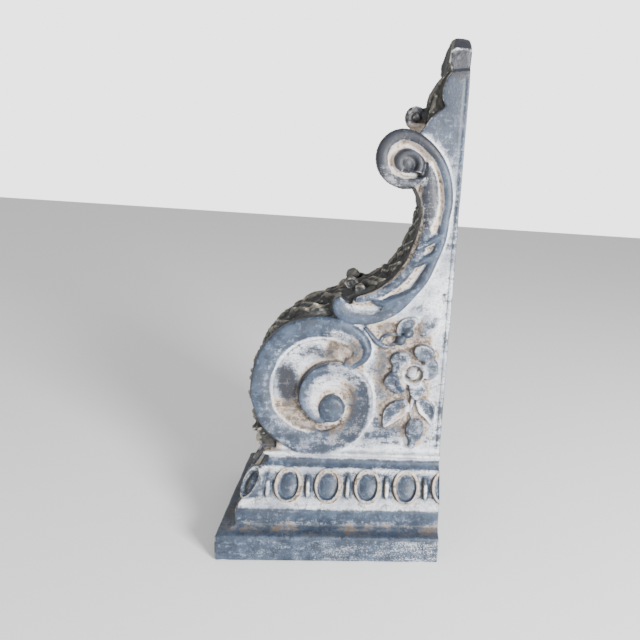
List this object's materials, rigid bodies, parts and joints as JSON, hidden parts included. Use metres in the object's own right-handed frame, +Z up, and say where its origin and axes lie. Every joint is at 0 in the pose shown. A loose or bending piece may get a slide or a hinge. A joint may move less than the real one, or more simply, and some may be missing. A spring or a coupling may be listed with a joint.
{
  "type": "scroll corbel",
  "caption": "Carved stone console corbel with scroll sides, acanthus front, egg-and-dart abacus and a flat back, shown resting on its abacus.",
  "frame": {"origin": "middle of the bed, the flat underside of the abacus as it stands", "axes": "+X out of the flat wall face at the back, +Y along the width, +Z up from the abacus to the pendant end"},
  "size_m": [0.225, 0.184, 0.52],
  "materials": {
    "stone": "satin blue-grey paint over carved stone, chalky white and tan wash left in the hollows"
  },
  "bodies": {
    "root": {"corbel": "stone"}
  },
  "joints": []
}
